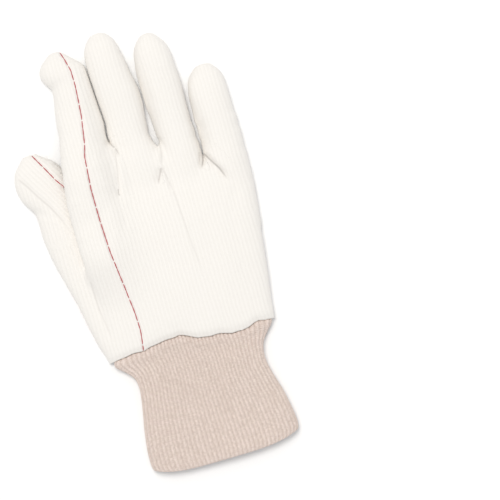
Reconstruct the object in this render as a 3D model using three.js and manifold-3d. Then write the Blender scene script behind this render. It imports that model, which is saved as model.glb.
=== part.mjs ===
// Cotton work glove for a right hand, lying palm down as it would on a table.
// It is a hollow shell of corded cotton cloth, sewn from panels, on a ribbed knit cuff.
// Millimetres. +Z is up, +Y runs from the cuff to the fingertips, +X towards the little finger.
// The origin is on the surface that the glove lies on, under the middle of its outline.
import * as THREE from "three";
import { mergeVertices } from "three/addons/utils/BufferGeometryUtils.js";
import Module from "manifold-3d";

const wasm = await Module();
wasm.setup();

// Cloth, knit and seams
const CLOTH_WALL = 1.8; // doubled corded cotton
const KNIT_WALL = 1.8;
const SEAM_GAP = 0.3; // between two panels, and between the cuff and the hem over it
const THUMB_GAP = 0.4; // between the thumb and the side of the hand over it

// Hand, from the hem to the roots of the fingers
const HAND_LENGTH = 110;
const HAND_WIDTH = 112;
const HAND_HEIGHT = 16.5;
const HAND_SQUARENESS = 3;
const HEM_WAVE = 8; // how far the hem's edge wanders along the back of the hand
const HEM_WAVE_REACH = 0.16; // where the wave has faded, in hand lengths from the hem

// Knit cuff
const CUFF_LENGTH = 75; // from its folded end to the hem
const CUFF_WIDTH = 93; // at its folded end
const CUFF_HEIGHT = 11;
const CUFF_TUCK = 9; // the length that is tucked inside the hand
const RIB_DEPTH = 0.6;
const RIBS = 76; // round the cuff
const END_BOW = 5; // how far the corners of the folded end draw back
const END_BOW_REACH = 0.3; // where the bow has faded, in cuff lengths

// Fingers and thumb
const FINGER_HEIGHT = 13.5;
const THUMB_HEIGHT = 10.5;
const FINGER_SQUARENESS = 2.25;
const SPLIT_LEVEL = 6.2; // height of the sewn edge along the sides of the fingers
const THUMB_SPLIT = 4.6; // and along the outer side of the thumb

// The side of the hand is lifted over the thumb. The lift grows across the hand, in hand widths, and
// comes and goes along it, in hand lengths from the hem.
const LIFT = THUMB_HEIGHT + 0.8;
const LIFT_ACROSS = { none: -0.02, full: -0.32 };
const LIFT_ALONG = { starts: 0.26, full: 0.64, falls: 1.0, ends: 1.55 };

// The outline of a section: its widest level, as a share of its height, and how flat it is below
const WAIST = 0.42;
const FLATTEN = 1.22;

// Each finger's own sizes: where its root is, how long it is to the tip, how wide it is
const FINGERS = {
  index: { rootX: -26, rootY: 150, length: 116, width: 27 },
  middle: { rootX: 3, rootY: 150, length: 120, width: 25 },
  ring: { rootX: 30, rootY: 145, length: 116.5, width: 24.5 },
  little: { rootX: 57, rootY: 130, length: 104.5, width: 25.5 },
};
const THUMB = { rootX: -48, rootY: 76, length: 135, width: 32 };

// Shapes of the fingers. Each row is a section: how far along the length it is, how far its
// middle is off the root's line and how broad it is, both in widths, and how high it is, in heights.
const FINGER_SECTIONS = {
  index: [
    { along: 0.0, shift: -0.03, breadth: 1.34, high: 0.9 },
    { along: 0.3, shift: 0.0, breadth: 1.3, high: 1.04 },
    { along: 0.385, shift: 0.025, breadth: 1.26, high: 1.02 },
    { along: 0.43, shift: 0.01, breadth: 1.15, high: 0.98 },
    { along: 0.535, shift: 0.06, breadth: 1.07, high: 0.97 },
    { along: 0.65, shift: 0.1, breadth: 0.99, high: 0.98 },
    { along: 0.76, shift: 0.135, breadth: 0.89, high: 0.96 },
    { along: 0.815, shift: 0.14, breadth: 0.86, high: 0.88 },
    { along: 0.845, shift: 0.09, breadth: 0.965, high: 0.86 },
    { along: 0.888, shift: 0.04, breadth: 1.035, high: 0.84 },
    { along: 0.931, shift: 0.0, breadth: 0.87, high: 0.74 },
    { along: 0.966, shift: -0.015, breadth: 0.62, high: 0.6 },
    { along: 0.991, shift: -0.01, breadth: 0.28, high: 0.44 },
  ],
  middle: [
    { along: 0.0, shift: 0.06, breadth: 1.3, high: 0.9 },
    { along: 0.34, shift: 0.06, breadth: 1.16, high: 1.02 },
    { along: 0.415, shift: 0.03, breadth: 0.95, high: 0.96 },
    { along: 0.5, shift: 0.02, breadth: 0.98, high: 0.97 },
    { along: 0.6, shift: 0.04, breadth: 1.02, high: 1.0 },
    { along: 0.7, shift: 0.02, breadth: 1.02, high: 1.0 },
    { along: 0.8, shift: -0.03, breadth: 0.96, high: 0.95 },
    { along: 0.9, shift: -0.08, breadth: 0.82, high: 0.82 },
    { along: 0.95, shift: -0.06, breadth: 0.66, high: 0.66 },
    { along: 0.984, shift: -0.04, breadth: 0.41, high: 0.5 },
  ],
  ring: [
    { along: 0.0, shift: 0.04, breadth: 1.26, high: 0.9 },
    { along: 0.3, shift: 0.04, breadth: 1.08, high: 1.0 },
    { along: 0.375, shift: 0.02, breadth: 1.0, high: 0.98 },
    { along: 0.455, shift: 0.02, breadth: 0.95, high: 0.97 },
    { along: 0.56, shift: 0.01, breadth: 0.97, high: 0.98 },
    { along: 0.69, shift: 0.02, breadth: 1.01, high: 1.0 },
    { along: 0.815, shift: 0.0, breadth: 0.99, high: 0.96 },
    { along: 0.9, shift: 0.01, breadth: 0.89, high: 0.84 },
    { along: 0.953, shift: 0.01, breadth: 0.67, high: 0.68 },
    { along: 0.987, shift: 0.0, breadth: 0.33, high: 0.48 },
  ],
  little: [
    { along: 0.0, shift: -0.17, breadth: 0.95, high: 0.9 },
    { along: 0.19, shift: -0.12, breadth: 1.08, high: 0.98 },
    { along: 0.335, shift: -0.07, breadth: 1.11, high: 1.0 },
    { along: 0.45, shift: -0.05, breadth: 1.08, high: 1.0 },
    { along: 0.515, shift: -0.01, breadth: 1.02, high: 0.97 },
    { along: 0.62, shift: -0.01, breadth: 1.03, high: 0.98 },
    { along: 0.727, shift: 0.0, breadth: 1.01, high: 0.98 },
    { along: 0.83, shift: 0.01, breadth: 0.95, high: 0.92 },
    { along: 0.91, shift: 0.02, breadth: 0.85, high: 0.8 },
    { along: 0.957, shift: 0.02, breadth: 0.65, high: 0.66 },
    { along: 0.988, shift: 0.03, breadth: 0.33, high: 0.48 },
  ],
};

// The thumb's tube runs from the hem, along the outer side of the hand, to its tip.
const THUMB_SECTIONS = [
  { along: 0.0, shift: 0.24, breadth: 0.45, high: 0.9 },
  { along: 0.089, shift: 0.21, breadth: 0.61, high: 0.97 },
  { along: 0.289, shift: 0.164, breadth: 0.92, high: 1.0 },
  { along: 0.496, shift: 0.12, breadth: 1.134, high: 1.0 },
  { along: 0.563, shift: 0.078, breadth: 1.128, high: 1.0 },
  { along: 0.622, shift: 0.003, breadth: 1.056, high: 1.0 },
  { along: 0.711, shift: -0.048, breadth: 0.972, high: 0.97 },
  { along: 0.77, shift: -0.13, breadth: 0.978, high: 0.96 },
  { along: 0.815, shift: -0.2, breadth: 0.99, high: 0.97 },
  { along: 0.881, shift: -0.273, breadth: 0.922, high: 0.95 },
  { along: 0.933, shift: -0.3, breadth: 0.775, high: 0.86 },
  { along: 0.97, shift: -0.32, breadth: 0.547, high: 0.7 },
  { along: 0.993, shift: -0.335, breadth: 0.3, high: 0.5 },
];

// The hand. Each row is a section: how far it is from the hem, in hand lengths, where its thumb side
// and its little finger side are, in hand widths, and how high it is, in hand heights.
const HAND_SECTIONS = [
  { along: 0.0, thumbSide: -0.415, littleSide: 0.513, high: 0.83 },
  { along: 0.09, thumbSide: -0.415, littleSide: 0.528, high: 0.91 },
  { along: 0.23, thumbSide: -0.405, littleSide: 0.547, high: 0.97 },
  { along: 0.37, thumbSide: -0.4, littleSide: 0.566, high: 1.0 },
  { along: 0.5, thumbSide: -0.405, littleSide: 0.583, high: 1.0 },
  { along: 0.6, thumbSide: -0.41, littleSide: 0.597, high: 1.0 },
  { along: 0.68, thumbSide: -0.412, littleSide: 0.605, high: 0.97 },
  { along: 0.77, thumbSide: -0.4, littleSide: 0.61, high: 0.9 },
  { along: 0.86, thumbSide: -0.385, littleSide: 0.585, high: 0.8 },
  { along: 0.93, thumbSide: -0.35, littleSide: 0.5, high: 0.66 },
  { along: 1.0, thumbSide: -0.29, littleSide: 0.28, high: 0.5 },
];

// The cuff. Each row is a section: how far it is from the folded end, in cuff lengths, where its thumb
// side and its little finger side are, in cuff widths, how high it is, in cuff heights, and how square.
const CUFF_SECTIONS = [
  { along: 0.0, thumbSide: -0.433, littleSide: 0.563, high: 1.0, square: 5 },
  { along: 0.38, thumbSide: -0.417, littleSide: 0.536, high: 1.0, square: 5 },
  { along: 0.56, thumbSide: -0.387, littleSide: 0.5, high: 1.0, square: 5 },
  { along: 0.72, thumbSide: -0.367, littleSide: 0.489, high: 1.0, square: 5 },
  { along: 0.82, thumbSide: -0.378, littleSide: 0.508, high: 1.0, square: 4.4 },
  { along: 0.9, thumbSide: -0.42, littleSide: 0.545, high: 1.0, square: 3.6 },
];

// The edge of the hem along the back of the hand: across the hand in hand widths, rise in hem waves.
const HEM_EDGE = [
  { across: -0.45, rise: 0.0 },
  { across: -0.22, rise: 0.32 },
  { across: -0.02, rise: 0.62 },
  { across: 0.09, rise: 0.0 },
  { across: 0.27, rise: -0.34 },
  { across: 0.37, rise: -0.25 },
  { across: 0.42, rise: 0.02 },
  { across: 0.52, rise: -0.18 },
];

// Seams, seen from above: across the hand in hand widths, along it in hand lengths from the hem.
const INDEX_BACK_SEAM = [
  { across: -0.226, along: -0.1 },
  { across: -0.226, along: 0.02 },
  { across: -0.21, along: 0.2 },
  { across: -0.226, along: 0.4 },
  { across: -0.246, along: 0.65 },
  { across: -0.25, along: 0.88 },
  { across: -0.232, along: 1.13 },
  { across: -0.199, along: 1.27 },
  { across: -0.172, along: 1.56 },
  { across: -0.192, along: 1.69 },
  { across: -0.22, along: 1.78 },
];
const LITTLE_PALM_SEAM = [
  { across: 0.464, along: -0.1 },
  { across: 0.5, along: 0.23 },
  { across: 0.554, along: 0.6 },
  { across: 0.562, along: 0.8 },
  { across: 0.557, along: 1.08 },
  { across: 0.538, along: 1.35 },
  { across: 0.487, along: 1.47 },
];
const RING_PALM_SEAM = [
  { across: 0.224, along: -0.1 },
  { across: 0.255, along: 0.2 },
  { across: 0.28, along: 0.6 },
  { across: 0.288, along: 0.85 },
  { across: 0.268, along: 1.08 },
  { across: 0.25, along: 1.37 },
  { across: 0.236, along: 1.56 },
  { across: 0.23, along: 1.75 },
];
const MIDDLE_PALM_SEAM = [
  { across: -0.16, along: -0.1 },
  { across: -0.13, along: 0.23 },
  { across: -0.1, along: 0.5 },
  { across: -0.053, along: 0.78 },
  { across: -0.031, along: 0.97 },
  { across: -0.025, along: 1.08 },
  { across: -0.031, along: 1.25 },
  { across: -0.036, along: 1.5 },
  { across: -0.036, along: 1.8 },
];
// From the side of the hand at the thumb's crotch to the tip of the index finger.
const INDEX_PALM_SEAM = [
  { across: -0.6, along: 0.655 },
  { across: -0.36, along: 0.69 },
  { across: -0.29, along: 0.8 },
  { across: -0.286, along: 0.97 },
  { across: -0.246, along: 1.25 },
  { across: -0.235, along: 1.53 },
  { across: -0.24, along: 1.78 },
];
const THUMB_BACK_SEAM = [
  { across: -0.1, along: -0.2 },
  { across: -0.1, along: 0.5 },
  { across: -0.27, along: 0.72 },
  { across: -0.385, along: 1.01 },
  { across: -0.465, along: 1.15 },
  { across: -0.515, along: 1.25 },
  { across: -0.53, along: 1.32 },
];

const HEM_Y = CUFF_LENGTH;
const FAR = 150; // beyond the glove on every side

const mix = (a, b, share) => a + (b - a) * share;
const ramp = (from, to, value) => THREE.MathUtils.smoothstep((value - from) / (to - from), 0, 1);

// How far the side of the hand is lifted at a place.
function lift(x, y) {
  const upHand = (y - HEM_Y) / HAND_LENGTH;
  const across = ramp(LIFT_ACROSS.none, LIFT_ACROSS.full, x / HAND_WIDTH);
  const up = ramp(LIFT_ALONG.starts, LIFT_ALONG.full, upHand);
  const down = ramp(LIFT_ALONG.falls, LIFT_ALONG.ends, upHand);
  return LIFT * across * (up - down);
}

// The value of a table's column at a place, between its rows.
function along(table, key, column, place) {
  const next = table.findIndex((row) => row[key] > place);
  if (next === 0) return table[0][column];
  if (next < 0) return table.at(-1)[column];
  const [a, b] = [table[next - 1], table[next]];
  return mix(a[column], b[column], (place - a[key]) / (b[key] - a[key]));
}

// How far the hem's edge is from its straight line, on the back of the hand.
const hemRise = (x) => HEM_WAVE * along(HEM_EDGE, "across", "rise", x / HAND_WIDTH);

// The outline of one section: rounded above, and flat below where it rests.
function outline({ left, right, low, high }, inset, squareness, count) {
  const middle = (left + right) / 2;
  const half = (right - left) / 2 - inset;
  const [bottom, top] = [low + inset, high - inset];
  const waist = mix(bottom, top, WAIST);
  const points = [];
  for (let i = 0; i < count; i++) {
    const angle = (2 * Math.PI * i) / count;
    const round = (v) => Math.sign(v) * Math.abs(v) ** (2 / squareness);
    const [c, s] = [round(Math.cos(angle)), round(Math.sin(angle))];
    const z = s > 0 ? mix(waist, top, s) : mix(waist, bottom, Math.min(1, -s * FLATTEN));
    points.push({ x: middle - half * c, z });
  }
  return points;
}

function centreOf(ring) {
  const centre = new THREE.Vector3();
  for (const p of ring) centre.addScaledVector(p, 1 / ring.length);
  return centre;
}

// A closed body through rings of the same number of points, with a fan of faces at each end.
function loft(rings) {
  const count = rings[0].length;
  const positions = rings.flat().flatMap((p) => [p.x, p.y, p.z]);
  const faces = [];
  for (let r = 0; r + 1 < rings.length; r++) {
    for (let i = 0; i < count; i++) {
      const j = (i + 1) % count;
      const [a, b, c, d] = [r * count + i, r * count + j, (r + 1) * count + j, (r + 1) * count + i];
      faces.push(a, b, c, a, c, d);
    }
  }
  for (const [ring, turn] of [[0, -1], [rings.length - 1, 1]]) {
    const centre = centreOf(rings[ring]);
    const hub = positions.push(centre.x, centre.y, centre.z) / 3 - 1;
    for (let i = 0; i < count; i++) {
      const [a, b] = [ring * count + i, ring * count + ((i + 1) % count)];
      faces.push(...(turn > 0 ? [a, b, hub] : [b, a, hub]));
    }
  }
  const geometry = new THREE.BufferGeometry();
  geometry.setAttribute("position", new THREE.Float32BufferAttribute(positions, 3));
  geometry.setIndex(faces);
  return geometry;
}

function toSolid(geometry) {
  const bare = new THREE.BufferGeometry().setAttribute("position", geometry.getAttribute("position"));
  bare.setIndex(geometry.getIndex());
  const merged = mergeVertices(bare, 1e-4);
  return new wasm.Manifold(
    new wasm.Mesh({
      numProp: 3,
      vertProperties: merged.attributes.position.array,
      triVerts: new Uint32Array(merged.index.array),
    }),
  );
}

function toGeometry(solid) {
  const mesh = solid.getMesh();
  const geometry = new THREE.BufferGeometry();
  geometry.setAttribute("position", new THREE.BufferAttribute(mesh.vertProperties, 3));
  geometry.setIndex(new THREE.BufferAttribute(mesh.triVerts, 1));
  return geometry;
}

const lifted = (p, y) => new THREE.Vector3(p.x, y, p.z + lift(p.x, y));
const onFloor = (p, y) => new THREE.Vector3(p.x, y, p.z);

// One finger's tube, drawn in by inset on all sides. Sections too small for that are left out.
const SMALLEST = 2.4;
function fingerTube(size, sections, height, inset, count, place) {
  const rings = [];
  for (const row of sections) {
    const breadth = row.breadth * size.width;
    const high = row.high * height;
    if (Math.min(breadth, high) - 2 * inset < SMALLEST) continue;
    const middle = size.rootX + row.shift * size.width;
    const section = { left: middle - breadth / 2, right: middle + breadth / 2, low: 0, high };
    const y = size.rootY + row.along * (size.length - inset);
    rings.push(outline(section, inset, FINGER_SQUARENESS, count).map((p) => place(p, y)));
  }
  const tip = centreOf(rings.at(-1)).setY(size.rootY + size.length - inset);
  const shrunk = (p) => new THREE.Vector3(mix(tip.x, p.x, 0.3), tip.y, mix(tip.z, p.z, 0.5));
  return toSolid(loft([...rings, rings.at(-1).map(shrunk)]));
}

// The section of the hand at a distance from the hem, in hand lengths.
function handSection(share) {
  return {
    left: HAND_WIDTH * along(HAND_SECTIONS, "along", "thumbSide", share),
    right: HAND_WIDTH * along(HAND_SECTIONS, "along", "littleSide", share),
    low: 0,
    high: HAND_HEIGHT * along(HAND_SECTIONS, "along", "high", share),
  };
}

// The body of the hand. Its first rings follow the wavy edge of the hem on the back of the hand.
function handBody(inset, count, start) {
  const rows = [{ along: start }, ...HAND_SECTIONS.filter((row) => row.along > start)];
  const reach = HAND_LENGTH - 2 * Math.max(inset, 0);
  const rings = rows.map((row) => {
    const section = handSection(row.along);
    const fade = 1 - ramp(0, HEM_WAVE_REACH, row.along);
    const onBack = (z) => ramp(0.3, 0.6, z / section.high);
    const y = HEM_Y + row.along * reach;
    const points = outline(section, inset, HAND_SQUARENESS, count);
    return points.map((p) => lifted(p, y + hemRise(p.x) * fade * onBack(p.z)));
  });
  return toSolid(loft(rings));
}

const SPLIT_STEPS = 14; // of the surface that parts the upper and the lower panels
// The space below the sewn edges, which are at a level over the ground.
function below(level, rise) {
  const box = new THREE.BoxGeometry(2 * FAR, 2 * FAR, 2, SPLIT_STEPS, SPLIT_STEPS, 1);
  box.translate(0, FAR, 0);
  const position = box.getAttribute("position");
  for (let i = 0; i < position.count; i++) {
    const seamZ = level + rise(position.getX(i), position.getY(i));
    position.setZ(i, position.getZ(i) > 0 ? seamZ : -FAR);
  }
  return toSolid(box);
}

// The space on one side of a seam: side -1 is towards the thumb, and 1 towards the little finger.
// It begins a little away from the seam, or with a negative room, a little over it.
function beside(seam, side, room = SEAM_GAP / 2) {
  const line = seam.map((row) => new THREE.Vector2(row.across * HAND_WIDTH, HEM_Y + row.along * HAND_LENGTH));
  const edge = line.map((p, i) => {
    const course = new THREE.Vector2().subVectors(line[i + 1] ?? p, line[i - 1] ?? p).normalize();
    return new THREE.Vector2(p.x + course.y * side * room, p.y - course.x * side * room);
  });
  const shape = new THREE.Shape();
  shape.moveTo(side * FAR, edge[0].y);
  for (const p of edge) shape.lineTo(p.x, p.y);
  shape.lineTo(edge.at(-1).x, 2 * FAR);
  shape.lineTo(side * FAR, 2 * FAR);
  const prism = new THREE.ExtrudeGeometry(shape, { depth: 2 * FAR, bevelEnabled: false });
  return toSolid(prism.translate(0, 0, -FAR));
}

// The outside, or with an inset the hollow, of the hand with its four fingers, and of the thumb.
function handForm(inset, count, startShare) {
  let form = handBody(inset, 2 * count, startShare);
  for (const [name, size] of Object.entries(FINGERS)) {
    form = form.add(fingerTube(size, FINGER_SECTIONS[name], FINGER_HEIGHT, inset, count, lifted));
  }
  return form;
}
const thumbForm = (inset, count) => fingerTube(THUMB, THUMB_SECTIONS, THUMB_HEIGHT, inset, count, onFloor);

// The cloth of the hand, the fingers and the thumb, cut into its sewn panels.
const OUTER_POINTS = 14;
const INNER_POINTS = 12;
const HOLLOW_START = -0.12; // the cutting form of the hollow begins outside the hem
function makePanels() {
  const hollow = handForm(CLOTH_WALL, INNER_POINTS, HOLLOW_START).add(thumbForm(CLOTH_WALL, INNER_POINTS));
  const hand = handForm(0, OUTER_POINTS, 0).subtract(hollow);
  const thumb = thumbForm(0, OUTER_POINTS).subtract(hollow);
  const thumbOutside = thumb.subtract(handForm(-THUMB_GAP, OUTER_POINTS, HOLLOW_START));
  const everywhere = toSolid(new THREE.BoxGeometry(2 * FAR, 2 * FAR, 2 * FAR).translate(0, FAR, 0));
  const above = (level, rise) => everywhere.subtract(below(level, rise));
  const over = above(SPLIT_LEVEL + SEAM_GAP / 2, lift);
  const under = below(SPLIT_LEVEL - SEAM_GAP / 2, lift);
  const overThumb = above(THUMB_SPLIT + SEAM_GAP / 2, () => 0);
  const underThumb = below(THUMB_SPLIT - SEAM_GAP / 2, () => 0);
  const backSpace = over.intersect(beside(INDEX_BACK_SEAM, 1)).add(beside(LITTLE_PALM_SEAM, 1));
  const sideSpace = over.intersect(beside(INDEX_BACK_SEAM, -1)).add(beside(INDEX_PALM_SEAM, -1));
  const sideEdge = beside(INDEX_PALM_SEAM, -1, -SEAM_GAP / 2);
  const palmByThumb = hand.intersect(under).intersect(beside(MIDDLE_PALM_SEAM, -1)).subtract(sideEdge);
  const thumbInside = thumbOutside.intersect(beside(THUMB_BACK_SEAM, 1));
  const strip = (from, to) => hand.intersect(under).intersect(beside(from, 1)).intersect(beside(to, -1));
  return {
    back_panel: hand.intersect(backSpace),
    index_side_panel: hand.intersect(sideSpace),
    thumb_back_panel: thumbOutside.intersect(overThumb).intersect(beside(THUMB_BACK_SEAM, -1)),
    palm_panel_thumb: palmByThumb.add(thumb.intersect(underThumb)).add(thumbInside),
    palm_panel_middle: strip(MIDDLE_PALM_SEAM, RING_PALM_SEAM),
    palm_panel_little: strip(RING_PALM_SEAM, LITTLE_PALM_SEAM),
  };
}

// The sections of the cuff: its own, and where it is tucked inside the hand, those of the hollow there.
const TUCK_FROM = -0.03; // where the cuff first has the hollow's section, in hand lengths from the hem
function cuffSections() {
  const own = CUFF_SECTIONS.map((row) => ({
    y: row.along * CUFF_LENGTH,
    left: row.thumbSide * CUFF_WIDTH,
    right: row.littleSide * CUFF_WIDTH,
    low: 0,
    high: row.high * CUFF_HEIGHT,
    square: row.square,
  }));
  const fit = CLOTH_WALL + SEAM_GAP + RIB_DEPTH;
  const tuckEnd = CUFF_TUCK / HAND_LENGTH;
  const tucked = [TUCK_FROM, tuckEnd].map((share) => {
    const { left, right } = handSection(share);
    const { high } = handSection(share - HEM_WAVE / HAND_LENGTH);
    const y = HEM_Y + share * HAND_LENGTH;
    return { y, left: left + fit, right: right - fit, low: fit, high: high - fit, square: HAND_SQUARENESS };
  });
  return [...own, ...tucked];
}

// Points spread evenly along a closed line.
function spread(points, count) {
  const line = new THREE.CurvePath();
  points.forEach((p, i) => {
    const q = points[(i + 1) % points.length];
    line.add(new THREE.LineCurve(new THREE.Vector2(p.x, p.z), new THREE.Vector2(q.x, q.z)));
  });
  return Array.from({ length: count }, (_, i) => line.getPointAt(i / count));
}

// The ribbed outside of the cuff: the points are in turn on a rib and between two ribs.
function ribbedRing(section) {
  const points = spread(outline(section, 0, section.square, 2 * RIBS), 2 * RIBS);
  const middle = (section.left + section.right) / 2;
  const half = (section.right - section.left) / 2;
  const bow = END_BOW * (1 - ramp(0, END_BOW_REACH, section.y / CUFF_LENGTH));
  return points.map((p, i) => {
    const before = points.at(i - 1);
    const after = points[(i + 1) % points.length];
    const inward = new THREE.Vector2(after.y - before.y, before.x - after.x).normalize();
    const depth = i % 2 === 0 ? 0 : RIB_DEPTH;
    const y = section.y + bow * ((p.x - middle) / half) ** 4;
    return new THREE.Vector3(p.x + inward.x * depth, y, Math.max(p.y + inward.y * depth, section.low));
  });
}

const BORE_POINTS = 20;
function makeCuff() {
  const sections = cuffSections();
  const innerRing = (row) => outline(row, KNIT_WALL, row.square, BORE_POINTS).map((p) => onFloor(p, row.y));
  const inside = sections.map(innerRing);
  const beyond = (ring, step) => ring.map((p) => new THREE.Vector3(p.x, p.y + step, p.z));
  const bore = [beyond(inside[0], -KNIT_WALL), ...inside, beyond(inside.at(-1), KNIT_WALL)];
  return toSolid(loft(sections.map(ribbedRing))).subtract(toSolid(loft(bore)));
}

// Colours and surfaces
const COTTON = { color: 0xf6f2ea, roughness: 0.96, metalness: 0 };
const KNIT = { color: 0xd1c1b4, roughness: 0.94, metalness: 0 };

const glove = new THREE.Group();
const parts = { ...makePanels(), knit_cuff: makeCuff() };
const outside = new THREE.Box3();
for (const solid of Object.values(parts)) {
  const { min, max } = solid.boundingBox();
  outside.expandByPoint(new THREE.Vector3(...min)).expandByPoint(new THREE.Vector3(...max));
}
const centre = outside.getCenter(new THREE.Vector3());
for (const [name, solid] of Object.entries(parts)) {
  const surface = new THREE.MeshStandardMaterial(name === "knit_cuff" ? KNIT : COTTON);
  const mesh = new THREE.Mesh(toGeometry(solid.translate(-centre.x, -centre.y, -outside.min.z)), surface);
  mesh.name = name;
  glove.add(mesh);
}

export default glove;
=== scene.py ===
import math
import bpy
import bmesh
import numpy as np
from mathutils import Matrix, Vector
from mathutils.bvhtree import BVHTree


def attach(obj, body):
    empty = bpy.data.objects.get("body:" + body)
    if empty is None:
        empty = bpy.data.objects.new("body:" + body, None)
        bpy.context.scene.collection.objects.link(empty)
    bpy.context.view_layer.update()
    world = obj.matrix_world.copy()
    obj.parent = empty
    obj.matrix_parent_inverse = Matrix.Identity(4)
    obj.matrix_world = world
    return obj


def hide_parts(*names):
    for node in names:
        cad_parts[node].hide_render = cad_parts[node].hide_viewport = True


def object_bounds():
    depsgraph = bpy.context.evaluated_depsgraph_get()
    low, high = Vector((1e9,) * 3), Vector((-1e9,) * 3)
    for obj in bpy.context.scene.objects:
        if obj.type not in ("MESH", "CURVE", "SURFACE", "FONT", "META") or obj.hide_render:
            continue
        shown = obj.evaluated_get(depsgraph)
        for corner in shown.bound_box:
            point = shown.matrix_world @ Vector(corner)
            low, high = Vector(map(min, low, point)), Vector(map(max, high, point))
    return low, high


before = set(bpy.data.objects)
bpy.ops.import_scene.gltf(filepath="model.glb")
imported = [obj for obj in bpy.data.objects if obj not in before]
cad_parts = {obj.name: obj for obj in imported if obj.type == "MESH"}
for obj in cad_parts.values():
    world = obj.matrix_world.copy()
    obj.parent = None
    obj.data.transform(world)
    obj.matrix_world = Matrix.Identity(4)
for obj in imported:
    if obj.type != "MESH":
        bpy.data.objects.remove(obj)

cad_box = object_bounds()

# Right-hand cotton work glove, lying palm down. Tables are in millimetres: x across the hand, towards
# the little finger, and y up the hand from the end of the cuff.
MM = 0.001
TABLE_X = 0.75 * MM  # where the tables' x = 0 is in the frame
TABLE_Y = cad_box[0].y  # where their y = 0 is: the end of the cuff

# Cloth of the hand
HEM_Y = 75
CLOTH_WALL = 1.7
VOXEL = 1.3
SMOOTHINGS = 7
WAIST = 0.24
FLATTEN = 1.22
FINGER_SQUARENESS = 2.2
HAND_SQUARENESS = 3.0
DRAWN_IN = 0.5  # what smoothing takes off each side of a finger
RING_STEP = 3.0  # between two rings of a tube
TIP_RINGS = 12  # rings that are 1 mm apart, before the tip
LIFT = 11.4  # of the side of the hand over the thumb
SETTLE = 3.4  # how much higher it is held over the thumb while the skin is made
SINK = 1.42  # how much of that it comes down again
SPREAD = 4.2  # how far neighbouring fingers are held apart, while the skin is made

# Knit cuff
RIBS = 76
RIB_POINTS = 8  # round one rib
RIB_DEPTH = 0.65
KNIT_WALL = 2.2
CUFF_TOP = 84
CUFF_STEP = 1.25
FINE_STEP = 0.6  # under the hem
FINE_END = 67  # where the fine steps end
FOLD_DEPTH = 1.2  # of the folded end
INNER_STEP = 4.5
NECK_Y = 57  # the narrowest place
FLARE_REACH = 9.0  # how far from its edges the knit is stretched above the neck
END_BOW = 5

# Stitches
STITCH_LENGTH = 4.6
STITCH_GAP = 0.3
STITCH_RADIUS = 0.33
STITCH_PARTS = 6
THUMB_INSIDE = 14.6  # a height between the thumb and the top of the hand over it
PALM_CLEAR = 3.5  # how far under the lifted palm its stitches are looked for

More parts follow.
